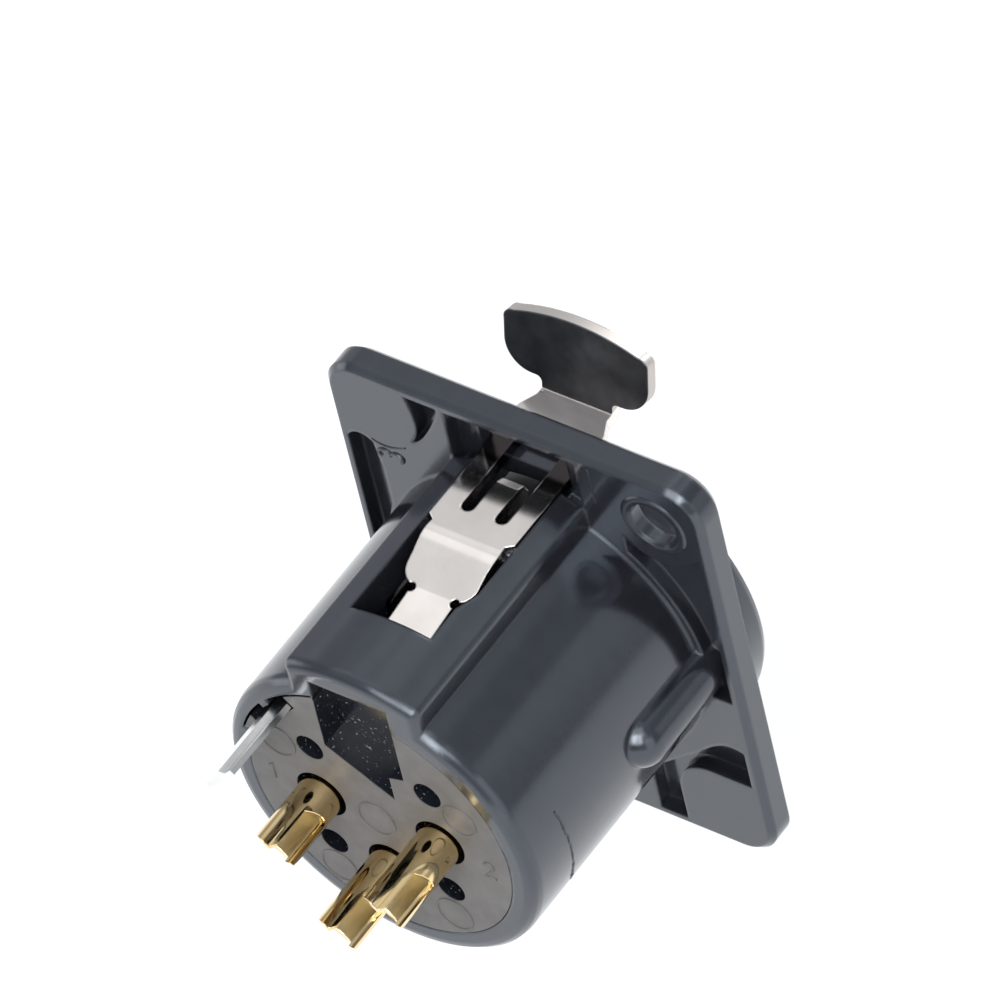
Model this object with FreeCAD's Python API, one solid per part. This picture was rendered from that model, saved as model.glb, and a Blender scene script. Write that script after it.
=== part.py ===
import FreeCAD, Part
import math
import os

# Female three pole panel socket with a latch.
# The origin is the middle of the panel face of the flange, on the axis of the barrel.
# -Y is the side that the plug enters, +Y is the solder side, +Z is up and the latch is on top.

V = FreeCAD.Vector
X_AXIS = V(1, 0, 0)
Y_AXIS = V(0, 1, 0)
Z_AXIS = V(0, 0, 1)
REACH = 1.0              # how far a cutter runs past the face that it opens

# Flange
flange_width = 26.0
flange_height = 31.0
flange_thickness = 2.05
flange_corner_r = 2.4
flange_edge = 0.35
screw_edge_x = 3.5
screw_edge_z = 3.5
screw_hole_d = 3.2
screw_sink_d = 6.0
lobe_r = 2.7
screw_boss_r = 3.2
side_pocket_z = 1.6
hole_pocket_from_z = 2.0
rim_width = 0.75
pocket_depth = 1.0

screw_x = flange_width / 2 - screw_edge_x
screw_z = flange_height / 2 - screw_edge_z

# Barrel of the shell
collar_d = 23.7
collar_proud = 2.55
collar_edge_r = 0.5
barrel_d = 21.0
barrel_length = 17.3
barrel_rear_r = 0.75
root_ledge = 0.5
root_fillet_r = 0.15
round_steps = 2
rim_steps = 3
bore_chamfer = 0.5
plug_bore_d = 19.1
seat_front_y = 9.5
seat_shoulder_y = 11.0
rear_bore_d = 17.9
side_rib_r = 1.75
side_rib_reach = 11.85
side_rib_length = 7.45

# Hood over the latch
hood_half_width = 4.65
hood_top_r = 11.95
hood_edge_r = 0.45
hood_rear_r = 0.65
hood_ceiling_z = 10.4
window_half_width = 3.05
window_rear_y = 12.4
ledge_z = 10.8
slot_half_width = 2.0
slot_rear_y = 5.2
hook_slot_front_y = -1.6
window_step_y = 8.3
window_step_run = 1.6
flange_slot_top_z = 13.7
crown_pocket_half_width = 4.5
cave_left_x = 2.85
cave_right_x = -2.55

# Recess of the ground strip
strip_angle = 44.0
recess_depth = 0.6
recess_from = 21.0
recess_to = 72.0
recess_gap = 0.16
recess_gap_angle = 1.5
nib_width = 0.7
nib_height = 0.35

# Insulator
insulator_gap = 0.05
insulator_front_d = 15.6
insulator_front_y = -3.7
insulator_front_edge = 0.3
keyway_width = 2.2
keyway_depth = 1.2
contact_circle_r = 4.12
contact_hole_d = 3.35
pin_hole_d = 2.7
pin_hole_lip = 1.0
pin_hole_flare = 0.5
core_hole_xz = 4.07
core_hole_d = 1.85
core_hole_depth = 4.0
cave_floor_z = 4.55
cave_step_x = -1.5
cave_foot_z = 2.35
cave_left_foot_z = 4.9
cave_depth = 1.95
trough_z = 6.6
spring_wall_z = 8.3
spring_well_z = 2.0
spring_well_gap = 0.12

# Contacts
socket_od = 3.1
socket_id = 2.45
socket_depth = 9.0
socket_slit = 0.5
socket_slit_depth = 6.5
contact_collar_d = 3.2
contact_collar_y = 10.5
contact_collar_width = 2.0
cup_d = 2.8
cup_bore_d = 2.05
cup_bore_depth = 4.0
cup_open = 2.85
cup_cut_height = 0.62
cup_turn = 62.0
cup_proud_1 = 4.7
cup_proud_2 = 5.75
cup_proud_3 = 5.7

# Ground strip
strip_width = 4.0
strip_thickness = 0.35
strip_radius = 8.55
strip_ridge = 0.3
strip_ridge_half = 0.55
strip_tail_y = 22.7
strip_tail_width = 3.2
strip_finger_width = 2.6
strip_finger_r = 7.15
strip_finger_bow = 0.7
strip_finger_tip_y = -1.5
strip_step_y = 9.3
strip_slot_gap = 0.12

# Latch lever
lever_t = 0.8
lever_top_z = 11.65
lever_front_y = -6.2
lever_half_front = 2.95
lever_shoulder_y = 4.5
lever_half_waist = 2.5
lever_bulge_y = 8.1
lever_half_bulge = 2.35
lever_notch_y = 8.85
lever_notch_r = 0.3
lever_half_tail = 1.52
lever_bend_y = 6.0
lever_drop_y = 8.7
lever_drop_z = 10.45
lever_bend_r = 4.0
lever_drop_r = 1.0
tongue_half_width = 0.74
tongue_slot_width = 0.86
tongue_root_y = 3.55
tongue_bend_y = 0.9
tongue_window_y = -2.9
hook_reach_z = 8.35
hook_slant_y = 0.9
neck_half_width = 2.42
neck_flare_y = -4.6

# Paddle of the lever
paddle_lean = 14.0
paddle_half_width = 4.97
paddle_height = 5.35
paddle_corner_z = 4.65
paddle_corner_r = 0.7
paddle_foot_z = 0.75
paddle_foot_r = 1.85
paddle_root_r = 0.4

# Pivot ridge under the hood, and spring
ridge_y = 12.95
ridge_r = 0.45
ridge_gap = 0.04
ridge_groove_depth = 0.25
lever_tail_slope = 0.135
lever_tail_y = 15.0
spring_y = 14.05
spring_od = 1.7
spring_wire_d = 0.28
spring_turns = 4.0
spring_end_gap = 0.05

# Sizes that follow from the ones above
collar_y = -flange_thickness - collar_proud
barrel_r = barrel_d / 2
insulator_r = rear_bore_d / 2 - insulator_gap


def tail_top_z(y):
    return lever_drop_z - lever_tail_slope * (y - lever_drop_y)


ridge_z = tail_top_z(ridge_y) - ridge_groove_depth + ridge_gap + ridge_r


def box(x0, x1, y0, y1, z0, z1):
    return Part.makeBox(x1 - x0, y1 - y0, z1 - z0, V(x0, y0, z0))


def rod(radius, y0, y1, x=0.0, z=0.0):
    return Part.makeCylinder(radius, y1 - y0, V(x, y0, z), Y_AXIS)


def cone(r0, r1, y0, y1, x=0.0, z=0.0):
    return Part.makeCone(r0, r1, y1 - y0, V(x, y0, z), Y_AXIS)


def prism_y(points, y0, y1):
    """Extrude an outline of (x, z) corners along Y."""
    wire = Part.makePolygon([V(x, y0, z) for x, z in points + points[:1]])
    return Part.Face(wire).extrude(V(0, y1 - y0, 0))


def outline_y(runs, y0, y1):
    """Extrude an outline along Y, made of straight runs of two (x, z) points and smooth runs of more."""
    edges = []
    for run in runs:
        points = [V(x, y0, z) for x, z in run]
        if len(points) == 2:
            edges.append(Part.makeLine(points[0], points[1]))
        else:
            curve = Part.BSplineCurve()
            curve.interpolate(points)
            edges.append(curve.toShape())
    return Part.Face(Part.Wire(edges)).extrude(V(0, y1 - y0, 0))


def turned(points):
    """Turn an outline of (radius, y) corners about the Y axis."""
    wire = Part.makePolygon([V(r, y, 0) for r, y in points + points[:1]])
    return Part.Face(wire).revolve(V(0, 0, 0), Y_AXIS, 360)


def save(shape, name):
    shape.exportStep("parts/" + name + ".step")


def rounded_plate(width, height, corner, y0, y1):
    plate = box(-width / 2, width / 2, y0, y1, -height / 2, height / 2)
    upright = [e for e in plate.Edges if abs(e.tangentAt(e.FirstParameter).y) > 0.99]
    return plate.makeFillet(corner, upright)


def edges_at_y(shape, y):
    return [e for e in shape.Edges if abs(e.BoundBox.YMin - y) < 1e-4 and abs(e.BoundBox.YMax - y) < 1e-4]


def corner_lobe(sx, sz, y0, y1):
    """The flat pad that each corner of the flange has on its panel side."""
    x, z = sx * screw_x, sz * screw_z
    lobe = rod(lobe_r, y0, y1, x, z)
    edge_x = sx * flange_width / 2
    edge_z = sz * flange_height / 2
    side = box(min(x, edge_x), max(x, edge_x), y0, y1, z - lobe_r, z + lobe_r)
    over = box(x - lobe_r, x + lobe_r, y0, y1, min(z, edge_z), max(z, edge_z))
    return lobe.fuse([side, over])


def flange():
    plate = rounded_plate(flange_width, flange_height, flange_corner_r, -flange_thickness, 0)
    plate = plate.makeChamfer(flange_edge, edges_at_y(plate, 0) + edges_at_y(plate, -flange_thickness))
    in_x = flange_width / 2 - rim_width
    in_z = flange_height / 2 - rim_width
    deep = -pocket_depth
    ring = rod(barrel_r + root_ledge, deep - REACH, REACH)

    # upper corner without a hole: one long pocket and one like a drop, with a pad between them
    sx, sz = screw_x, screw_z
    inner = sx + 0.65
    long_pocket = outline_y([[(in_x, side_pocket_z), (in_x, sz - 2.8)],
                             [(in_x, sz - 2.8), (sx + 1.92, sz - 2.24), (sx + 0.95, sz - 2.63)],
                             [(sx + 0.95, sz - 2.63), (inner, sz - 4.7)],
                             [(inner, sz - 4.7), (inner, side_pocket_z)],
                             [(inner, side_pocket_z), (in_x, side_pocket_z)]], deep, REACH)
    tip = (sx - 2.0, sz - 1.3)
    drop = outline_y([[(sx - 2.27, in_z), (sx - 2.6, sz + 1.5), (sx - 2.7, sz + 0.3),
                       (sx - 2.45, sz - 0.6), tip],
                      [tip, (sx - 2.62, sz - 0.85), (sx - 3.2, sz - 0.1), (sx - 3.95, sz + 1.2),
                       (sx - 4.5, sz + 2.4)],
                      [(sx - 4.5, sz + 2.4), (sx - 4.5, in_z)],
                      [(sx - 4.5, in_z), (sx - 2.27, in_z)]], deep, REACH)
    plate = plate.cut([long_pocket.cut(ring), drop.cut(ring)])

    # lower corner without a hole: one pocket that runs round the lobe
    lobe = corner_lobe(-1, -1, deep - REACH, REACH)
    top_z = 5.6 - sz
    around = outline_y([[(-in_x, top_z), (-in_x + 0.7, top_z + 0.2), (-sx - 0.7, top_z - 0.3),
                         (-sx + 1.5, top_z - 2.2)],
                        [(-sx + 1.5, top_z - 2.2), (-sx + 4.6, -sz + 0.8)],
                        [(-sx + 4.6, -sz + 0.8), (-sx + 4.6, -in_z)],
                        [(-sx + 4.6, -in_z), (-in_x, -in_z)],
                        [(-in_x, -in_z), (-in_x, top_z)]], deep, REACH)
    plate = plate.cut(around.cut([lobe, ring]))

    # corners with a hole: one long pocket beside the barrel
    for side in (-1, 1):
        boss = rod(screw_boss_r, deep - REACH, REACH, side * screw_x, -side * screw_z)
        x_low, x_high = sorted((side * 7.0, side * in_x))
        z_low, z_high = sorted((side * hole_pocket_from_z, -side * screw_z))
        plate = plate.cut(box(x_low, x_high, deep, REACH, z_low, z_high).cut([boss, ring]))

    # shallow pocket above the hood
    crown = box(-crown_pocket_half_width, crown_pocket_half_width, deep, REACH, 0, in_z)
    return plate.cut(crown.cut(ring))


def screw_hole(x, z):
    sink_depth = (screw_sink_d - screw_hole_d) / 2
    front = -flange_thickness
    hole = rod(screw_hole_d / 2, front - REACH, REACH, x, z)
    sink = cone(screw_sink_d / 2, screw_hole_d / 2, front, front + sink_depth * 0.8, x, z)
    return hole.fuse(sink)


def quarter(centre, radius, start, steps):
    """Points of a quarter round in a turned outline, from the start angle on, as (radius, y)."""
    points = []
    for i in range(steps + 1):
        angle = math.radians(start + 90.0 * i / steps)
        points.append((centre[0] + radius * math.cos(angle), centre[1] + radius * math.sin(angle)))
    return points


def barrel():
    """Collar and barrel, turned in one piece, with a narrow ledge and a small round at the root."""
    collar_r = collar_d / 2
    ledge_r = barrel_r + root_ledge
    root_r = barrel_r + root_fillet_r
    front = quarter((collar_r - collar_edge_r, collar_y + collar_edge_r), collar_edge_r, -90, round_steps)
    root = quarter((root_r, root_fillet_r), root_fillet_r, 180, round_steps)
    rear = quarter((barrel_r - barrel_rear_r, barrel_length - barrel_rear_r), barrel_rear_r, 0, rim_steps)
    outline = [(0, collar_y)] + front + [(collar_r, -pocket_depth), (ledge_r, -pocket_depth), (ledge_r, 0)]
    return turned(outline + root[::-1] + rear + [(0, barrel_length)])


def hood():
    """The raised cover of the latch, inside the round panel cut-out."""
    block = box(-hood_half_width, hood_half_width, 0, barrel_length, 0, hood_top_r + REACH)
    block = block.common(rod(hood_top_r, 0, barrel_length))
    long_edges = [e for e in block.Edges
                  if e.BoundBox.YLength > barrel_length / 2 and e.BoundBox.ZMin > barrel_r - 1]
    block = block.makeFillet(hood_edge_r, long_edges)
    rear = [e for e in edges_at_y(block, barrel_length) if e.BoundBox.ZMax > barrel_r]
    return block.makeFillet(hood_rear_r, rear)


def side_rib(side):
    x = side * (side_rib_reach - side_rib_r)
    end = side_rib_length - side_rib_r
    rib = rod(side_rib_r, -pocket_depth, end, x)
    return rib.fuse(Part.makeSphere(side_rib_r, V(x, end, 0)))


def sector(radius, start, stop, y0, y1):
    """A pie slice about the Y axis, between two angles measured from +X towards +Z."""
    far = radius * 1.6
    steps = 4
    corners = [(0.0, 0.0)]
    for i in range(steps + 1):
        a = math.radians(start + (stop - start) * i / steps)
        corners.append((far * math.cos(a), far * math.sin(a)))
    return prism_y(corners, y0, y1).common(rod(radius, y0, y1))


def latch_openings():
    """Window, slot and bay that the lever needs in the shell."""
    w = window_half_width
    window = box(-w, w, -REACH / 2, window_rear_y, ledge_z, hood_top_r + REACH)
    behind = box(-w, w, slot_rear_y, window_rear_y, trough_z, hood_top_r + REACH)
    flange_slot = box(-w, w, collar_y - REACH, 0, ledge_z, flange_slot_top_z)
    front, rear = hook_slot_front_y, slot_rear_y + REACH
    low_slot = box(-slot_half_width, slot_half_width, front, rear, 0, ledge_z + REACH / 2)
    low_slot = low_slot.cut(rod(plug_bore_d / 2 - REACH, front - REACH, rear + REACH))

    # the right wall comes nearer beside the tail of the lever
    step = [(-w - REACH, window_step_y - REACH * window_step_run / (w + cave_right_x)),
            (cave_right_x, window_step_y + window_step_run),
            (cave_right_x, window_rear_y + REACH), (-w - REACH, window_rear_y + REACH)]
    wall = Part.Face(Part.makePolygon([V(x, y, trough_z) for x, y in step + step[:1]]))
    wall = wall.extrude(V(0, 0, hood_top_r + REACH - trough_z))
    front, rear = window_rear_y - REACH, barrel_length + REACH
    cave = box(cave_right_x, cave_left_x, front, rear, trough_z, hood_ceiling_z)
    ridge = Part.makeCylinder(ridge_r, 2 * w, V(-w, ridge_y, ridge_z), X_AXIS)
    ridge = ridge.fuse(box(-w, w, ridge_y - ridge_r, ridge_y + ridge_r, ridge_z, hood_ceiling_z + REACH))
    return [window.cut(wall), behind.cut(wall), flange_slot, low_slot, cave.cut(ridge)]


def recess_nib(gap):
    """Small tooth of the shell in the middle of the recess, or the notch for it with a gap all round."""
    inner = rear_bore_d / 2 + recess_depth - nib_height - gap
    half = nib_width / 2 + gap
    nib = box(inner, barrel_r, seat_shoulder_y - REACH, barrel_length + REACH, -half, half)
    nib.rotate(V(0, 0, 0), Y_AXIS, -strip_angle)
    return nib


def shell():
    body = flange().fuse([barrel(), hood(), side_rib(1), side_rib(-1)])
    bore = rod(plug_bore_d / 2, collar_y - REACH, seat_shoulder_y)
    rear = rod(rear_bore_d / 2, seat_shoulder_y - REACH, barrel_length + REACH)
    y0, y1 = seat_shoulder_y - REACH, barrel_length + REACH
    recess_r = rear_bore_d / 2 + recess_depth
    recess = sector(recess_r, recess_from, recess_to, y0, y1)
    mouth = cone(plug_bore_d / 2 + bore_chamfer, plug_bore_d / 2, collar_y, collar_y + bore_chamfer)
    cuts = [bore, mouth, rear, recess.cut(recess_nib(0))] + latch_openings()
    cuts += [screw_hole(-screw_x, screw_z), screw_hole(screw_x, -screw_z)]
    return body.cut(cuts).removeSplitter()


def contact_places():
    r = contact_circle_r
    return {1: (r, 0.0), 2: (-r, 0.0), 3: (0.0, -r)}


def insulator():
    base_r = plug_bore_d / 2 - insulator_gap
    front_r = insulator_front_d / 2
    nose = insulator_front_y
    behind = barrel_length + REACH
    body = turned([(0, nose), (front_r - insulator_front_edge, nose), (front_r, nose + insulator_front_edge),
                   (front_r, seat_front_y), (base_r, seat_front_y), (base_r, seat_shoulder_y),
                   (insulator_r, seat_shoulder_y), (insulator_r, barrel_length), (0, barrel_length)])
    key_r = rear_bore_d / 2 + recess_depth - recess_gap
    key = sector(key_r, recess_from + recess_gap_angle, recess_to, seat_shoulder_y, barrel_length)
    body = body.fuse(key)
    cuts = [recess_nib(recess_gap)]
    for x, z in contact_places().values():
        cuts.append(rod(contact_hole_d / 2, nose + pin_hole_lip, behind, x, z))
        cuts.append(rod(pin_hole_d / 2, nose - REACH, nose + pin_hole_lip + REACH, x, z))
        flare_r = pin_hole_d / 2 + pin_hole_flare
        cuts.append(cone(flare_r, pin_hole_d / 2, nose, nose + pin_hole_flare, x, z))
    core_front = barrel_length - core_hole_depth
    for sx in (-1, 1):
        for sz in (-1, 1):
            cuts.append(rod(core_hole_d / 2, core_front, behind, sx * core_hole_xz, sz * core_hole_xz))
    half = keyway_width / 2
    key_floor = front_r - keyway_depth
    cuts.append(box(-half, half, nose - REACH, seat_front_y + REACH, key_floor, front_r + REACH))

    # open notch under the hood, the trough in front of it, and the well of the spring
    w = window_half_width + insulator_gap
    cuts.append(box(-w, w, seat_front_y - REACH, window_rear_y, trough_z, base_r + REACH))
    front = window_rear_y - REACH
    cuts.append(box(cave_right_x, cave_left_x, front, behind, spring_wall_z, base_r + REACH))
    well_r = spring_od / 2 + spring_well_gap
    cuts.append(Part.makeCylinder(well_r, spring_wall_z, V(0, spring_y, spring_well_z), Z_AXIS))
    cave = [(cave_right_x, base_r + REACH), (cave_right_x, cave_floor_z), (cave_step_x, cave_floor_z - 0.3),
            (cave_step_x, cave_foot_z), (cave_left_x, cave_left_foot_z), (cave_left_x, base_r + REACH)]
    cuts.append(prism_y(cave, barrel_length - cave_depth, behind))

    # passage and groove of the ground strip
    wide = strip_width / 2 + strip_slot_gap
    narrow = strip_finger_width / 2 + strip_slot_gap
    under = strip_thickness / 2 + strip_slot_gap
    slot = box(strip_radius - under, base_r + REACH, seat_front_y - REACH, behind, -wide, wide)
    low = strip_finger_r - under
    groove = box(low, front_r + REACH, strip_finger_tip_y - 0.4, seat_front_y + REACH, -narrow, narrow)
    step = box(low, base_r + REACH, seat_front_y - REACH, strip_step_y + 2.6, -narrow, narrow)
    for piece in (slot, groove, step):
        piece.rotate(V(0, 0, 0), Y_AXIS, -strip_angle)
        cuts.append(piece)
    return body.cut(cuts).removeSplitter()


def contact(place, proud):
    """Turned contact: slotted socket in front, collar in the insulator, solder cup behind."""
    front = insulator_front_y + pin_hole_lip + 0.1
    end = barrel_length + proud
    r_socket, r_cup, r_collar = socket_od / 2, cup_d / 2, contact_collar_d / 2
    collar_end = contact_collar_y + contact_collar_width
    socket_end = contact_collar_y
    body = turned([(0, front), (r_socket - 0.2, front), (r_socket, front + 0.2), (r_socket, socket_end),
                   (r_collar, socket_end), (r_collar, collar_end), (r_cup, collar_end),
                   (r_cup, end), (0, end)])
    bore = rod(socket_id / 2, front - REACH, front + socket_depth)
    flare = cone(socket_id / 2 + 0.15, socket_id / 2, front, front + 0.3)
    cup_r = cup_bore_d / 2
    well = rod(cup_r, end - cup_bore_depth, end + REACH)
    drill = cone(0, cup_r, end - cup_bore_depth - cup_r * 0.6, end - cup_bore_depth)
    out = r_cup + REACH
    slit = box(-socket_slit / 2, socket_slit / 2, front - REACH, front + socket_slit_depth, -out, out)
    open_top = box(-out, out, end - cup_open, end + REACH, cup_cut_height, out)
    open_top.rotate(V(0, 0, 0), Y_AXIS, -cup_turn)
    body = body.cut([bore, flare, well, drill, slit, open_top])
    body.translate(V(place[0], 0, place[1]))
    return body


def strip_section(width, y):
    """Closed outline across the ground strip at y, flat with one raised ridge."""
    h = width / 2
    low = strip_radius - strip_thickness / 2
    top = strip_radius + strip_thickness / 2
    crest = top + strip_ridge
    k = strip_ridge_half
    foot = k * 1.6
    corners = [(low, -h), (low, h), (top, h), (top, foot), (crest, k), (crest, -k), (top, -foot), (top, -h)]
    return Part.makePolygon([V(r, y, z) for r, z in corners + corners[:1]])


def ground_strip():
    """Strip from the solder tail at the rear to the sprung finger beside the front of the insulator."""
    def span(w0, y0, w1, y1):
        return Part.makeLoft([strip_section(w0, y0), strip_section(w1, y1)], True, True)

    h = strip_finger_width / 2
    half_t = strip_thickness / 2
    tip = strip_finger_tip_y
    mid_y = (tip + strip_step_y) / 2
    bow = strip_finger_r + strip_finger_bow
    outer = [(strip_radius, strip_step_y + 2.0), (strip_finger_r, strip_step_y), (bow, mid_y),
             (strip_finger_r, tip)]
    top = [V(r + half_t, y, 0) for r, y in outer]
    low = [V(r - half_t, y, 0) for r, y in reversed(outer)]
    edges = [Part.LineSegment(top[0], top[1]).toShape(), Part.Arc(top[1], top[2], top[3]).toShape(),
             Part.LineSegment(top[3], low[0]).toShape(), Part.Arc(low[0], low[1], low[2]).toShape(),
             Part.LineSegment(low[2], low[3]).toShape(), Part.LineSegment(low[3], top[0]).toShape()]
    finger = Part.Face(Part.Wire(edges)).extrude(V(0, 0, strip_finger_width))
    finger.translate(V(0, 0, -h))
    tail = span(strip_width, strip_step_y + 2.0, strip_width, barrel_length)
    tab = span(strip_width, barrel_length, strip_tail_width, strip_tail_y)
    whole = tail.fuse([tab, finger]).removeSplitter()
    whole.rotate(V(0, 0, 0), Y_AXIS, -strip_angle)
    return whole


def lever_side():
    """Side view of the sheet, from the bend of the paddle to the end of the tail."""
    t = lever_t
    top = lever_top_z
    low = top - t
    end = lever_tail_y
    end_z = tail_top_z(end)
    upper = [(lever_front_y, top), (lever_bend_y, top), (lever_drop_y, lever_drop_z), (end, end_z)]
    lower = [(end, end_z - t), (lever_drop_y - 0.15, lever_drop_z - t), (lever_bend_y - 0.25, low),
             (lever_front_y, low)]
    pts = [V(0, y, z) for y, z in upper + lower]
    wire = Part.makePolygon(pts + pts[:1])
    sheet = Part.Face(wire).extrude(V(2 * lever_half_front, 0, 0))
    sheet.translate(V(-lever_half_front, 0, 0))
    across = [e for e in sheet.Edges if abs(e.tangentAt(e.FirstParameter).x) > 0.99]

    def bends_near(sheet_edges, y):
        return [e for e in sheet_edges if abs(e.BoundBox.Center.y - y) < 0.3]

    sheet = sheet.makeFillet(lever_bend_r, bends_near(across, lever_bend_y))
    across = [e for e in sheet.Edges if abs(e.tangentAt(e.FirstParameter).x) > 0.99]
    return sheet.makeFillet(lever_drop_r, bends_near(across, lever_drop_y))


def lever_plan():
    """Outline of the lever seen from above, both halves from one list."""
    shoulder = (lever_half_front, lever_shoulder_y)
    waist = (lever_half_waist, lever_shoulder_y + 0.35)
    notch = (lever_half_tail, lever_notch_y - lever_notch_r * 0.6)
    middle_y = (lever_bend_y + lever_bulge_y) / 2
    bulge = [waist, (lever_half_waist + 0.04, lever_bend_y), (lever_half_waist - 0.04, middle_y),
             (lever_half_bulge, lever_bulge_y), (lever_half_bulge - 0.35, lever_bulge_y + 0.4), notch]
    runs = [[(neck_half_width, lever_front_y), (neck_half_width, lever_front_y + 0.5)],
            [(neck_half_width, lever_front_y + 0.5), (lever_half_front, neck_flare_y)],
            [(lever_half_front, neck_flare_y), shoulder], [shoulder, waist], bulge,
            [notch, (lever_half_tail, lever_tail_y)]]
    edges = []
    for side in (1, -1):
        for run in runs:
            points = [V(side * x, y, 0) for x, y in run]
            if len(points) == 2:
                edges.append(Part.makeLine(points[0], points[1]))
            else:
                curve = Part.BSplineCurve()
                curve.interpolate(points)
                edges.append(curve.toShape())
    edges.append(Part.makeLine(V(-lever_half_tail, lever_tail_y, 0), V(lever_half_tail, lever_tail_y, 0)))
    edges.append(Part.makeLine(V(-neck_half_width, lever_front_y, 0), V(neck_half_width, lever_front_y, 0)))
    plan = Part.Face(Part.Wire(Part.__sortEdges__(edges))).extrude(V(0, 0, lever_top_z + REACH))
    k = tongue_half_width
    s = tongue_slot_width
    front = tongue_window_y
    cuts = []
    tall = lever_top_z + REACH
    for side in (-1, 1):
        x = side * (k + s / 2)
        cuts.append(box(x - s / 2, x + s / 2, front, tongue_root_y - s / 2, 0, tall))
        cuts.append(Part.makeCylinder(s / 2, tall, V(x, tongue_root_y - s / 2, 0), Z_AXIS))
        notch_at = V(side * lever_half_tail, lever_notch_y, 0)
        cuts.append(Part.makeCylinder(lever_notch_r, tall, notch_at, Z_AXIS))
    cuts.append(box(-k - s, k + s, front, tongue_bend_y, 0, tall))
    return plan.cut(cuts)


def hook():
    """End of the tongue, bent down into the bore and slanted so that a plug lifts it."""
    top = lever_top_z
    t = lever_t
    y = tongue_bend_y
    slant = hook_slant_y
    pts = [(y + t, top), (y, top), (y - t * 0.7, top - t * 0.3), (y - t, top - t),
           (y - t + slant, hook_reach_z), (y + slant, hook_reach_z), (y + t * 0.1, top - t),
           (y + t, top - t)]
    corners = [V(-tongue_half_width, a, b) for a, b in pts]
    return Part.Face(Part.makePolygon(corners + corners[:1])).extrude(V(2 * tongue_half_width, 0, 0))


def paddle():
    """Thumb plate, drawn flat with its foot at the origin and then leaned forward."""
    w = paddle_half_width
    c = paddle_corner_r
    f = paddle_foot_r
    n = neck_half_width
    r = paddle_root_r
    edges = []

    def line(a, b):
        edges.append(Part.LineSegment(V(a[0], 0, a[1]), V(b[0], 0, b[1])).toShape())

    def arc(a, m, b):
        edges.append(Part.Arc(V(a[0], 0, a[1]), V(m[0], 0, m[1]), V(b[0], 0, b[1])).toShape())

    q = math.sqrt(0.5)
    foot = paddle_foot_z
    side_top = paddle_corner_z - c
    top_x = w - c * 0.9
    for s in (1, -1):
        chain = [("l", (s * n, 0), (s * n, foot - r)),
                 ("a", (s * n, foot - r), (s * (n + r - r * q), foot - r + r * q), (s * (n + r), foot)),
                 ("l", (s * (n + r), foot), (s * (w - f), foot)),
                 ("a", (s * (w - f), foot), (s * (w - f + f * q), foot + f - f * q), (s * w, foot + f)),
                 ("l", (s * w, foot + f), (s * w, side_top)),
                 ("a", (s * w, side_top), (s * (w - c * 0.22), side_top + c * 0.72),
                  (s * top_x, paddle_corner_z))]
        for item in chain:
            if item[0] == "l":
                line(item[1], item[2])
            else:
                arc(item[1], item[2], item[3])
    arc((top_x, paddle_corner_z), (0, paddle_height), (-top_x, paddle_corner_z))
    line((n, 0), (-n, 0))
    face = Part.Face(Part.Wire(Part.__sortEdges__(edges)))
    plate = face.extrude(V(0, -lever_t, 0))
    plate.rotate(V(0, 0, 0), X_AXIS, paddle_lean)
    plate.translate(V(0, lever_front_y, lever_top_z))
    return plate


def lever_bend():
    """The rounded corner between the neck and the paddle, same width as the neck."""
    lean = math.radians(paddle_lean)
    t = lever_t
    y, z = lever_front_y, lever_top_z
    inner = V(0, y, z)
    outer_up = V(0, y - t * math.cos(lean), z - t * math.sin(lean))
    outer_low = V(0, y, z - t)
    mid = V(0, y - t * 0.66, z - t * 0.78)
    edges = [Part.makeLine(inner, outer_up), Part.Arc(outer_up, mid, outer_low).toShape(),
             Part.makeLine(outer_low, inner)]
    wedge = Part.Face(Part.Wire(edges)).extrude(V(2 * neck_half_width, 0, 0))
    wedge.translate(V(-neck_half_width, 0, 0))
    return wedge


def latch_lever():
    sheet = lever_side().common(lever_plan())
    whole = sheet.fuse([hook(), paddle(), lever_bend()])
    reach = 2 * lever_half_tail
    groove = Part.makeCylinder(ridge_r + ridge_gap, 2 * reach, V(-reach, ridge_y, ridge_z), X_AXIS)
    return whole.cut(groove).removeSplitter()


def latch_spring():
    """Coil that stands in the well of the insulator and pushes the tail of the lever up."""
    r = spring_wire_d / 2
    coil_r = spring_od / 2 - r
    low = spring_well_z + spring_end_gap + r
    high = tail_top_z(spring_y + coil_r) - lever_t - spring_end_gap - r
    helix = Part.makeHelix((high - low) / spring_turns, high - low, coil_r)
    corners = [V(coil_r + r * math.cos(math.radians(60 * i)), 0,
                 r * math.sin(math.radians(60 * i))) for i in range(7)]
    section = Part.makePolygon(corners)
    coil = Part.Wire(helix.Edges).makePipeShell([section], True, True)
    coil.translate(V(0, spring_y, low))
    return coil


if __name__ == "__main__":
    os.makedirs("parts", exist_ok=True)
    save(shell(), "shell")
    save(insulator(), "insulator")
    for number, proud in ((1, cup_proud_1), (2, cup_proud_2), (3, cup_proud_3)):
        save(contact(contact_places()[number], proud), "contact_" + str(number))
    save(ground_strip(), "ground_strip")
    save(latch_lever(), "latch_lever")
    save(latch_spring(), "latch_spring")
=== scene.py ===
import math
import random

import bmesh
import bpy
from mathutils import Matrix, Vector


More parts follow.
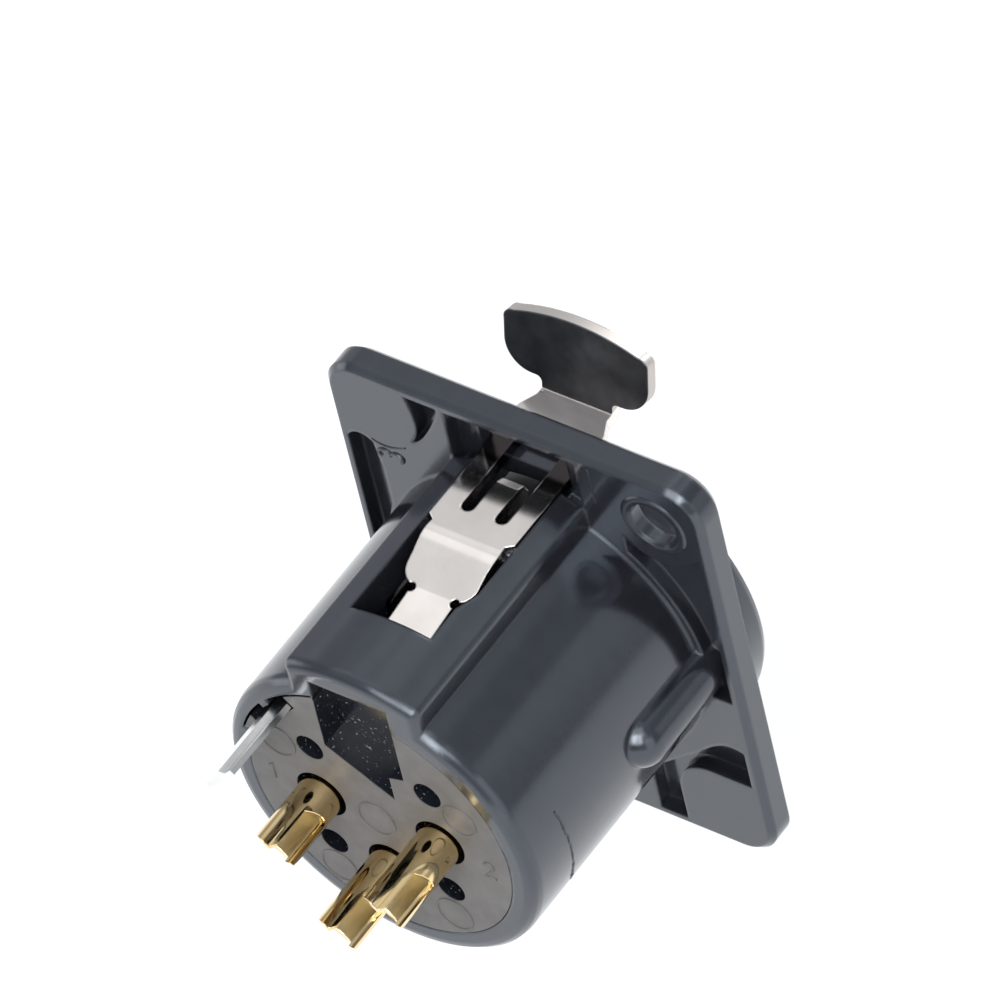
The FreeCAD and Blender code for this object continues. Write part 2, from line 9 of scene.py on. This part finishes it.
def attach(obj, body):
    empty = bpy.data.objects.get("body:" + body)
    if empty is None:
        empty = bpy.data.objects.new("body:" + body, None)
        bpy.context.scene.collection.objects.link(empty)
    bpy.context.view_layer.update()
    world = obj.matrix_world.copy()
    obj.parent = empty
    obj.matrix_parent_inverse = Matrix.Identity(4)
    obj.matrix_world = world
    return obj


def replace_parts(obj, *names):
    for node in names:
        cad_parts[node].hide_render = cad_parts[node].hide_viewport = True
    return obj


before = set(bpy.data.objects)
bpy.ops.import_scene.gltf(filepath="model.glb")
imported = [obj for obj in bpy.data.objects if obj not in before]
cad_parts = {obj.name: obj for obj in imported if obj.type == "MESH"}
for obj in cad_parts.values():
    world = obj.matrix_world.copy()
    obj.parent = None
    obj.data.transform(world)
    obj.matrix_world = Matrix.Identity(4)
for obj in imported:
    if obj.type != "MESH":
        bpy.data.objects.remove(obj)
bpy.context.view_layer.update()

MM = 0.001

# Sizes of the solids that the materials and the small forms follow, in millimetres, and the lean of
# the thumb plate in degrees.
FLANGE_BACK_Y = 0.0
REAR_FACE_Y = 17.3
BARREL_R = 10.5
CONTACT_AXES = {"contact_1": (4.12, 0), "contact_2": (-4.12, 0), "contact_3": (0, -4.12)}
LEVER_TOP_Z = 11.65
LEVER_FRONT_Y = -6.2
LEVER_SHEET = 0.8
PADDLE_LEAN = 14.0


# ---- camera ----
# Viewpoint of the photograph, fitted to the corners of the flange and the outline of the barrel.
viewpoint = Vector((-0.38814, 0.39538, 0.60234))
right = Vector((-0.815418, -0.554499, -0.166206))
up = Vector((0.324132, -0.675247, 0.662556))
back = Vector((-0.479616, 0.486387, 0.730339))
lens_data = bpy.data.cameras.new("camera")
lens_data.sensor_width = 36
lens_data.lens = 516.43
lens_data.clip_start = 0.01
lens_data.clip_end = 20
camera = bpy.data.objects.new("camera", lens_data)
bpy.context.scene.collection.objects.link(camera)
camera.matrix_world = Matrix((
    (right.x, up.x, back.x, viewpoint.x),
    (right.y, up.y, back.y, viewpoint.y),
    (right.z, up.z, back.z, viewpoint.z),
    (0, 0, 0, 1)))
bpy.context.scene.camera = camera
bpy.context.scene.view_settings.view_transform = "Standard"


# ---- node helpers ----
class Nodes:
    """Short way to write the nodes of one material."""

    def __init__(self, name):
        self.material = bpy.data.materials.new(name)
        self.material.use_nodes = True
        self.tree = self.material.node_tree
        self.shader = self.tree.nodes["Principled BSDF"]
        self.place = self.add("ShaderNodeTexCoord").outputs["Object"]

    def add(self, kind, **values):
        node = self.tree.nodes.new(kind)
        for key, value in values.items():
            setattr(node, key, value)
        return node

    def link(self, source, target):
        self.tree.links.new(source, target)

    def noise(self, scale, detail, stretch=None):
        """Noise in the part's frame, drawn out along the axes by stretch."""
        node = self.add("ShaderNodeTexNoise")
        node.inputs["Scale"].default_value = scale
        node.inputs["Detail"].default_value = detail
        place = self.place
        if stretch:
            turn = self.add("ShaderNodeMapping")
            turn.inputs["Scale"].default_value = stretch
            self.link(place, turn.inputs["Vector"])
            place = turn.outputs["Vector"]
        self.link(place, node.inputs["Vector"])
        return node.outputs["Fac"]

    def ramp(self, source, *stops):
        """Colours at the given places of the source."""
        node = self.add("ShaderNodeValToRGB")
        bar = node.color_ramp
        while len(bar.elements) < len(stops):
            bar.elements.new(0.5)
        for element, (at, colour) in zip(bar.elements, stops):
            element.position = at
            element.color = (*colour, 1)
        self.link(source, node.inputs["Fac"])
        return node.outputs["Color"]

    def span(self, source, low, high, from_low=0.0, from_high=1.0):
        """The source, brought from one range of values to another."""
        node = self.add("ShaderNodeMapRange")
        node.inputs["From Min"].default_value = from_low
        node.inputs["From Max"].default_value = from_high
        node.inputs["To Min"].default_value = low
        node.inputs["To Max"].default_value = high
        self.link(source, node.inputs["Value"])
        return node.outputs["Result"]

    def mix(self, share, a, b):
        """Colour a where share is 0 and b where it is 1."""
        node = self.add("ShaderNodeMix", data_type="RGBA")
        self.link(share, node.inputs["Factor"])
        for socket, value in zip(node.inputs[6:8], (a, b)):
            if isinstance(value, tuple):
                socket.default_value = (*value, 1)
            else:
                self.link(value, socket)
        return node.outputs[2]

    def math(self, operation, a, b):
        node = self.add("ShaderNodeMath", operation=operation)
        for socket, value in zip(node.inputs, (a, b)):
            if isinstance(value, (int, float)):
                socket.default_value = value
            else:
                self.link(value, socket)
        return node.outputs["Value"]

    def axis(self, name):
        node = self.add("ShaderNodeSeparateXYZ")
        self.link(self.place, node.inputs["Vector"])
        return node.outputs[name]

    def away(self, x, z):
        """Distance from a line along Y at (x, z) in millimetres."""
        flat = self.add("ShaderNodeVectorMath", operation="MULTIPLY_ADD")
        flat.inputs[1].default_value = (1, 0, 1)
        flat.inputs[2].default_value = (-x * MM, 0, -z * MM)
        self.link(self.place, flat.inputs[0])
        far = self.add("ShaderNodeVectorMath", operation="LENGTH")
        self.link(flat.outputs["Vector"], far.inputs[0])
        return far.outputs["Value"]

    def bump(self, height, distance, strength, after=None):
        """Relief in the shader's normal, on top of an earlier normal where one is given."""
        node = self.add("ShaderNodeBump")
        node.inputs["Distance"].default_value = distance
        node.inputs["Strength"].default_value = strength
        self.link(height, node.inputs["Height"])
        if after:
            self.link(after, node.inputs["Normal"])
        self.link(node.outputs["Normal"], self.shader.inputs["Normal"])
        return node.outputs["Normal"]

    def above(self, source, limit):
        return self.math("GREATER_THAN", source, limit)

    def colour(self, source):
        self.link(source, self.shader.inputs["Base Color"])

    def roughness(self, source):
        self.link(source, self.shader.inputs["Roughness"])

    def set(self, **values):
        """Values that are the same all over, set on the shader's own sockets."""
        for key, value in values.items():
            self.shader.inputs[key.replace("_", " ")].default_value = value

    def rounded(self, radius):
        """Normal that rounds the sharp edges of the solid off."""
        node = self.add("ShaderNodeBevel")
        node.inputs["Radius"].default_value = radius
        return node.outputs["Normal"]


def black_metal():
    """Glossy black coat on a casting, with bluish reflections and a fine orange peel."""
    n = Nodes("black_metal")
    n.colour(n.ramp(n.noise(700, 4), (0.3, (0.010, 0.011, 0.014)), (0.7, (0.013, 0.014, 0.018))))
    n.roughness(n.span(n.noise(420, 4), 0.12, 0.16))
    n.set(Specular_IOR_Level=0.95, Specular_Tint=(0.80, 0.89, 1.0, 1))
    peel = n.bump(n.noise(1300, 3), 0.03 * MM, 0.14, n.rounded(0.3 * MM))
    n.bump(n.noise(8000, 2), 0.004 * MM, 0.5, peel)
    return n.material


def black_plastic():
    """Moulded plastic: a matt rear face, glossy walls in its openings, dust in the rear half of them."""
    n = Nodes("black_plastic")
    on_face = n.above(n.axis("Y"), (REAR_FACE_Y - 0.05) * MM)
    matt = n.ramp(n.noise(900, 4), (0.3, (0.070, 0.067, 0.066)), (0.7, (0.094, 0.091, 0.090)))
    plain = n.ramp(n.noise(700, 4), (0.3, (0.010, 0.011, 0.013)), (0.7, (0.016, 0.017, 0.020)))
    dusty = n.ramp(n.noise(5200, 2), (0.0, (0.005, 0.006, 0.009)), (0.66, (0.009, 0.011, 0.015)),
                   (0.72, (0.20, 0.21, 0.24)))
    smooth = n.mix(n.above(n.axis("Y"), 6.0 * MM), plain, dusty)
    n.colour(n.mix(on_face, smooth, matt))
    n.roughness(n.math("ADD", n.math("MULTIPLY", on_face, 0.3), n.span(n.noise(600, 4), 0.14, 0.3)))
    n.bump(n.noise(7000, 3), 0.006 * MM, 0.5)
    return n.material


def gold():
    """Gold plating: a bright outside, a paler and duller inside of the cups, painted shade inside the
    sockets in front.
    """
    n = Nodes("gold")
    nearest = n.away(*CONTACT_AXES["contact_1"])
    for name in ("contact_2", "contact_3"):
        nearest = n.math("MINIMUM", nearest, n.away(*CONTACT_AXES[name]))
    inside = n.math("LESS_THAN", nearest, 1.2 * MM)
    outer = n.ramp(n.noise(500, 3), (0.3, (0.76, 0.56, 0.28)), (0.7, (0.86, 0.67, 0.37)))
    cup = n.ramp(n.noise(900, 3), (0.3, (0.80, 0.70, 0.48)), (0.7, (0.88, 0.79, 0.58)))
    # Painted shade: dark colour inside the sockets in front, standing for the shade in their depth.
    socket = n.ramp(n.noise(900, 3), (0.3, (0.16, 0.11, 0.05)), (0.7, (0.22, 0.16, 0.08)))
    inner = n.mix(n.above(n.axis("Y"), 12.0 * MM), socket, cup)
    n.colour(n.mix(inside, outer, inner))
    n.roughness(n.math("ADD", n.math("MULTIPLY", inside, 0.3), n.span(n.noise(700, 3), 0.04, 0.10)))
    n.set(Metallic=1.0)
    n.bump(n.noise(1500, 2), 0.01 * MM, 0.15)
    return n.material


def tin():
    """Bright tinned strip with fine lines along it."""
    n = Nodes("tin")
    n.colour(n.ramp(n.noise(700, 4), (0.3, (0.68, 0.68, 0.67)), (0.7, (0.79, 0.79, 0.78))))
    n.roughness(n.span(n.noise(1800, 4, (1, 0.1, 1)), 0.10, 0.26))
    n.set(Metallic=1.0)
    n.bump(n.noise(2600, 3, (1, 0.12, 1)), 0.04 * MM, 0.7)
    return n.material


def nickel():
    """Nickel plated sheet, rougher on the back and the rim of the thumb plate, the back painted dark as a
    painted reflection, the rim greyer, and painted shade where the sheet runs through the flange.
    """
    n = Nodes("nickel")
    lean = math.radians(PADDLE_LEAN)
    across = n.math("MULTIPLY", n.axis("Y"), math.cos(lean))
    depth = n.math("ADD", across, n.math("MULTIPLY", n.axis("Z"), math.sin(lean)))
    back = (LEVER_FRONT_Y * math.cos(lean) + LEVER_TOP_Z * math.sin(lean)) * MM
    on_plate = n.above(n.axis("Z"), (LEVER_TOP_Z + 0.05) * MM)
    on_back = n.math("MULTIPLY", n.above(depth, back - 0.06 * MM), on_plate)
    not_front = n.above(depth, back - (LEVER_SHEET - 0.06) * MM)
    on_rim = n.math("MULTIPLY", n.math("SUBTRACT", not_front, on_back), on_plate)
    # Painted shade where the sheet runs through the slot in the flange, fading out towards the back of the
    # flange.
    fading = n.span(n.axis("Y"), 1, 0, -0.4 * MM, 0.5 * MM)
    in_slot = n.math("MULTIPLY", fading, n.above(n.axis("Y"), -3.4 * MM))
    bright = n.ramp(n.noise(350, 5), (0.3, (0.76, 0.71, 0.67)), (0.7, (0.86, 0.81, 0.77)))
    # Painted reflection: dark colour on the back of the thumb plate, standing for a dark surrounding
    # mirrored in it.
    painted_dark_back = n.ramp(n.noise(900, 5), (0.3, (0.13, 0.134, 0.146)), (0.7, (0.18, 0.184, 0.196)))
    bright_with_slot_shade = n.mix(in_slot, bright, (0.06, 0.052, 0.052))
    sheared = n.mix(on_rim, bright_with_slot_shade, (0.52, 0.49, 0.465))
    n.colour(n.mix(on_back, sheared, painted_dark_back))
    dullness = n.math("ADD", n.math("MULTIPLY", on_back, 0.16), n.math("MULTIPLY", on_rim, 0.28))
    n.roughness(n.math("ADD", dullness, n.span(n.noise(500, 4), 0.1, 0.17)))
    n.set(Metallic=1.0)
    n.bump(n.noise(900, 2), 0.006 * MM, 0.2, n.rounded(0.14 * MM))
    return n.material


def spring_steel():
    """Drawn wire."""
    n = Nodes("spring_steel")
    n.colour(n.ramp(n.noise(2000, 3), (0.3, (0.30, 0.30, 0.31)), (0.7, (0.45, 0.45, 0.46))))
    n.roughness(n.span(n.noise(1500, 3), 0.22, 0.4))
    n.set(Metallic=1.0)
    return n.material


finishes = {"shell": black_metal(), "insulator": black_plastic(), "ground_strip": tin(),
            "latch_lever": nickel(), "latch_spring": spring_steel()}
contact_gold = gold()
for name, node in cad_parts.items():
    finish = finishes.get(name, contact_gold)
    node.data.materials.clear()
    node.data.materials.append(finish)


# ---- marks and small forms ----
def arc(centre, radius, start, stop, steps=12):
    """Points of a round stroke, as (across, up), between two angles in degrees."""
    points = []
    for i in range(steps + 1):
        angle = math.radians(start + (stop - start) * i / steps)
        points.append((centre[0] + radius * math.cos(angle), centre[1] + radius * math.sin(angle)))
    return points


def place_piece(name, data, finish):
    """Put a piece in the scene, on the body that does not move."""
    data.materials.append(finish)
    piece = bpy.data.objects.new(name, data)
    bpy.context.scene.collection.objects.link(piece)
    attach(piece, "socket")
    return piece


def bead(name, strokes, radius, node, closed=False):
    """Fine raised line in the finish of a node, along strokes, lists of (x, y, z) in millimetres."""
    data = bpy.data.curves.new(name, "CURVE")
    data.dimensions = "3D"
    data.bevel_depth = radius * MM
    data.bevel_resolution = 2
    data.use_fill_caps = True
    for stroke in strokes:
        spline = data.splines.new("POLY")
        spline.points.add(len(stroke) - 1)
        for point, place in zip(spline.points, stroke):
            point.co = (*(value * MM for value in place), 1)
        spline.use_cyclic_u = closed
    place_piece(name, data, finishes[node])


# Strokes of the numerals in a field one unit high, across to the right and up.
NUMERALS = {
    "1": [[(-0.18, 0.30), (0.0, 0.5), (0.0, -0.5)]],
    "2": [arc((0, 0.24), 0.26, 160, -20) + [(-0.28, -0.5), (0.32, -0.5)]],
    "3": [arc((0, 0.25), 0.25, 150, -90) + arc((0, -0.25), 0.25, 90, -150)],
}

# Contact numbers on the rear face of the insulator, read from behind, so across runs towards -X.
NUMBER_HEIGHT = 1.2
for number, x, z in (("1", 7.36, 0.44), ("2", -7.4, -0.71), ("3", 0.3, -7.3)):
    glyph = [[(x - a * NUMBER_HEIGHT, REAR_FACE_Y, z + b * NUMBER_HEIGHT) for a, b in stroke]
             for stroke in NUMERALS[number]]
    bead("number_" + number, glyph, radius=0.09, node="insulator")

# Rings that the ejector pins left on the same face: place and radius.
PIN_MARKS = [(0.3, -0.2, 1.25), (6.45, 3.5, 1.2), (-6.0, 2.85, 1.15), (4.2, -6.3, 1.2), (-3.85, -6.4, 1.2)]
rings = [[(a, REAR_FACE_Y, b) for a, b in arc((x, z), radius, 0, 350, 35)] for x, z, radius in PIN_MARKS]
bead("pin_marks", rings, radius=0.07, node="insulator", closed=True)

# Cavity number on the flange, which lies on its side.
CAVITY_X, CAVITY_Z, CAVITY_TALL, CAVITY_WIDE = 9.3, 8.75, 1.75, 1.3
glyph = [[(CAVITY_X + b * CAVITY_TALL, FLANGE_BACK_Y, CAVITY_Z + a * CAVITY_WIDE) for a, b in stroke]
         for stroke in NUMERALS["3"]]
bead("cavity_number", glyph, radius=0.12, node="shell")

# Step line between the two pads of the flange, as (x, z).
STEP_LINE = [(8.08, 9.97), (8.4, 9.78), (8.74, 9.66), (9.1, 9.54), (9.41, 9.48), (9.7, 9.47), (9.97, 9.5),
             (10.25, 9.56), (10.5, 9.66)]
step = [(x, FLANGE_BACK_Y, z) for x, z in STEP_LINE]
bead("pad_line", [step], radius=0.06, node="shell")

# Uneven seam that a slide of the mould left on the barrel: where it starts, how far it turns and how
# much nearer to the flange it ends.
SEAM_ANGLE, SEAM_TURN, SEAM_Y, SEAM_DRIFT, SEAM_STEPS = 167, 41, 14.0, 0.9, 40
draw = random.Random(7)
seam = []
for i in range(SEAM_STEPS + 1):
    share = i / SEAM_STEPS
    angle = math.radians(SEAM_ANGLE + SEAM_TURN * share)
    y = SEAM_Y - SEAM_DRIFT * share + draw.uniform(-0.05, 0.05)
    radius = BARREL_R + draw.uniform(-0.03, 0.02)
    seam.append((radius * math.cos(angle), y, radius * math.sin(angle)))
bead("slide_seam", [seam], radius=0.08, node="shell")

# Line beside the pocket in the crown of the flange.
crown = [(-5.53, FLANGE_BACK_Y, 11.9), (-5.5, FLANGE_BACK_Y, 14.85)]
bead("crown_line", [crown], radius=0.06, node="shell")


def mesh_piece(name, points, faces, finish):
    """Closed and smoothly shaded mesh from points in millimetres."""
    data = bpy.data.meshes.new(name)
    data.from_pydata([tuple(value * MM for value in point) for point in points], [], faces)
    shape = bmesh.new()
    shape.from_mesh(data)
    bmesh.ops.recalc_face_normals(shape, faces=shape.faces)
    shape.to_mesh(data)
    shape.free()
    data.polygons.foreach_set("use_smooth", [True] * len(data.polygons))
    return place_piece(name, data, finish)


# Swollen mouth that the casting has round each screw hole, a profile of (radius, y) turned round it.
MOUTH = [(1.61, -0.1), (1.62, 0.0), (1.68, 0.06), (1.8, 0.09), (2.0, 0.085), (2.15, 0.05), (2.25, -0.02),
         (2.2, -0.1)]
MOUTH_STEPS = 64
for name, x, z in (("hole_mouth_1", -9.5, 12.0), ("hole_mouth_2", 9.5, -12.0)):
    points, faces = [], []
    rows = len(MOUTH)
    for i in range(MOUTH_STEPS):
        angle = 2 * math.pi * i / MOUTH_STEPS
        here, after = i * rows, (i + 1) % MOUTH_STEPS * rows
        for j, (radius, y) in enumerate(MOUTH):
            points.append((x + radius * math.cos(angle), y, z + radius * math.sin(angle)))
            further = (j + 1) % rows
            faces.append((here + j, here + further, after + further, after + j))
    mesh_piece(name, points, faces, finishes["shell"])


# ---- contacts ----
# Each contact is one closed lathe form whose two ends vary round its axis. Lengths are in millimetres,
# and angles in degrees from +X towards +Z.

# Socket in front, with a slit above and below. Its rim is chamfered outside, and less inside.
SOCKET_FRONT_Y = -2.6
SOCKET_R = 1.55
SOCKET_BORE_R = 1.225
SOCKET_DEPTH = 9.0
FRONT_CHAMFER = 0.2
LEAD_IN_SHARE = 0.7
SLIT_ANGLES = (90, 270)
SLIT_HALF_ANGLE = 9.2
SLIT_EDGE_ANGLE = 0.3
SLIT_DEPTH = 6.5

# Collar.
COLLAR_R = 1.6
COLLAR_Y = 10.5
COLLAR_END_Y = 12.5

# Solder cup behind, drilled to a point. Its wall is longer on the side that the cup faces and shorter
# on the far side. It is cut back in the opening, deeper towards the opening's second edge, and the
# corner at the first edge is worn low over a small angle.
CUP_R = 1.4
CUP_BORE_R = 1.025
CUP_DEPTH = 4.0
CUP_CHAMFER = 0.04
DRILL_POINT = 0.6 * CUP_BORE_R
CUP_FACING = 122.8
LONG_WALL = 0.72
SHORT_WALL = 0.85
OPENING_LENGTH = (2.45, 3.0)
OPENING_EDGE_ANGLE = 0.4
CORNER_SHARE = 0.4
CORNER_ANGLE = 18

# Rear end of each cup, and the two edges of its opening as angles from the side that it faces.
CUPS = {"contact_1": (22.0, (-6, 50)), "contact_2": (23.05, (-2, 62)), "contact_3": (23.0, (-14, 60))}

COLUMN_ANGLE = 5.0
SHARP_ANGLE = math.radians(32)


def cup_end(angle, end, opening):
    """Place along Y where the wall of the cup ends at an angle."""
    turn = (angle - CUP_FACING + 180) % 360 - 180
    low, high = opening
    if low < turn < high:
        share = (turn - low) / (high - low)
        shallow, deep = OPENING_LENGTH
        return end - shallow - (deep - shallow) * math.sin(share * math.pi / 2)
    lean = math.cos(math.radians(turn))
    if lean < 0:
        return end + SHORT_WALL * lean
    corner = min(1.0, CORNER_SHARE + (low - turn) / CORNER_ANGLE) if turn <= low else 1.0
    return end + LONG_WALL * lean * corner


def contact_piece(node):
    """Contact in place of the solid, built column by column round its axis."""
    x, z = CONTACT_AXES[node]
    end, opening = CUPS[node]
    angles = [i * COLUMN_ANGLE for i in range(round(360 / COLUMN_ANGLE))]
    for edge in opening:
        angles += [CUP_FACING + edge - OPENING_EDGE_ANGLE, CUP_FACING + edge + OPENING_EDGE_ANGLE]
    for middle in SLIT_ANGLES:
        for edge in (SLIT_HALF_ANGLE, SLIT_HALF_ANGLE + SLIT_EDGE_ANGLE):
            angles += [middle - edge, middle + edge]
    angles = sorted(set(angles))
    socket_floor = SOCKET_FRONT_Y + SOCKET_DEPTH
    cup_floor = end - CUP_DEPTH
    points, faces = [], []
    for angle in angles:
        in_slit = min(abs(angle - middle) for middle in SLIT_ANGLES) <= SLIT_HALF_ANGLE
        front = SOCKET_FRONT_Y + (SLIT_DEPTH if in_slit else 0)
        edge = 0 if in_slit else FRONT_CHAMFER
        tip = cup_end(angle, end, opening)
        column = [
            (SOCKET_BORE_R, socket_floor), (SOCKET_BORE_R, front + edge),
            (SOCKET_BORE_R + edge * LEAD_IN_SHARE, front), (SOCKET_R - edge, front),
            (SOCKET_R, front + edge),
            (SOCKET_R, COLLAR_Y), (COLLAR_R, COLLAR_Y), (COLLAR_R, COLLAR_END_Y), (CUP_R, COLLAR_END_Y),
            (CUP_R, tip - CUP_CHAMFER), (CUP_R - CUP_CHAMFER, tip), (CUP_BORE_R + CUP_CHAMFER, tip),
            (CUP_BORE_R, tip - CUP_CHAMFER), (CUP_BORE_R, cup_floor)]
        turn = math.radians(angle)
        for radius, y in column:
            points.append((x + radius * math.cos(turn), y, z + radius * math.sin(turn)))
    rows = len(points) // len(angles)
    socket_pole = len(points)
    cup_pole = socket_pole + 1
    points.append((x, socket_floor, z))
    points.append((x, cup_floor - DRILL_POINT, z))
    for i in range(len(angles)):
        here, after = i * rows, (i + 1) % len(angles) * rows
        for j in range(rows - 1):
            faces.append((here + j, here + j + 1, after + j + 1, after + j))
        faces.append((socket_pole, here, after))
        faces.append((cup_pole, after + rows - 1, here + rows - 1))
    piece = mesh_piece("cup_" + node, points, faces, contact_gold)
    shape = bmesh.new()
    shape.from_mesh(piece.data)
    for edge in shape.edges:
        if len(edge.link_faces) == 2 and edge.calc_face_angle() > SHARP_ANGLE:
            edge.smooth = False
    shape.to_mesh(piece.data)
    shape.free()
    return piece


for node in CUPS:
    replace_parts(contact_piece(node), node)


# ---- floor, world and lamps ----
def floor_material():
    """Pale floor that keeps the object's shadow."""
    n = Nodes("floor")
    n.colour(n.ramp(n.noise(3, 2), (0.3, (0.75, 0.75, 0.75)), (0.7, (0.77, 0.77, 0.77))))
    n.set(Roughness=0.8, Specular_IOR_Level=0.0)
    return n.material


FLOOR_Z = -40 * MM
FLOOR_R = 1600 * MM
bpy.ops.mesh.primitive_circle_add(vertices=96, radius=FLOOR_R, fill_type="NGON", location=(0, 0, FLOOR_Z))
floor = bpy.context.object
floor.name = "floor"
floor.data.materials.append(floor_material())

# Weak light from all around, and white where the camera looks past the floor.
world = bpy.data.worlds.new("studio")
bpy.context.scene.world = world
world.use_nodes = True
tree = world.node_tree
sky = tree.nodes["Background"]
sky.inputs["Color"].default_value = (0.92, 0.95, 1.0, 1)
sky.inputs["Strength"].default_value = 0.46
white = tree.nodes.new("ShaderNodeBackground")
white.inputs["Color"].default_value = (1, 1, 1, 1)
white.inputs["Strength"].default_value = 1.0
path = tree.nodes.new("ShaderNodeLightPath")
mix = tree.nodes.new("ShaderNodeMixShader")
tree.links.new(path.outputs["Is Camera Ray"], mix.inputs["Fac"])
tree.links.new(sky.outputs["Background"], mix.inputs[1])
tree.links.new(white.outputs["Background"], mix.inputs[2])
tree.links.new(mix.outputs["Shader"], tree.nodes["World Output"].inputs["Surface"])


# Soft boxes on a dome round the barrel: compass angle from +X towards +Y, height angle and power.
DOME_R = 600 * MM
DOME_CENTRE = Vector((0, 8 * MM, 0))
BOX_SIZE = 360 * MM
SOFT_BOXES = [
    (0, 66, 0.17),
    (90, 66, 0.12),
    (135, 66, 0.74),
    (225, 66, 0.07),
    (270, 66, 0.08),
    (315, 66, 0.11),
    (60, 40, 0.08),
    (90, 40, 1.60),
    (120, 40, 2.21),
    (150, 40, 0.28),
    (180, 40, 0.04),
    (270, 40, 1.34),
    (300, 40, 0.04),
    (330, 40, 0.06),
    (15, 13, 0.66),
    (135, 13, 0.07),
    (165, 13, 0.44),
    (225, 13, 0.16),
    (255, 13, 0.44),
    (315, 13, 0.09),
]
for compass, height, power in SOFT_BOXES:
    name = "soft_box_%03d_%02d" % (compass, height)
    data = bpy.data.lights.new(name, "AREA")
    data.shape = "SQUARE"
    data.size = BOX_SIZE
    data.energy = power
    lamp = bpy.data.objects.new(name, data)
    bpy.context.scene.collection.objects.link(lamp)
    across = math.cos(math.radians(height))
    way = Vector((across * math.cos(math.radians(compass)), across * math.sin(math.radians(compass)),
                  math.sin(math.radians(height))))
    lamp.location = DOME_CENTRE + way * DOME_R
    lamp.rotation_euler = (-way).to_track_quat("-Z", "Y").to_euler()
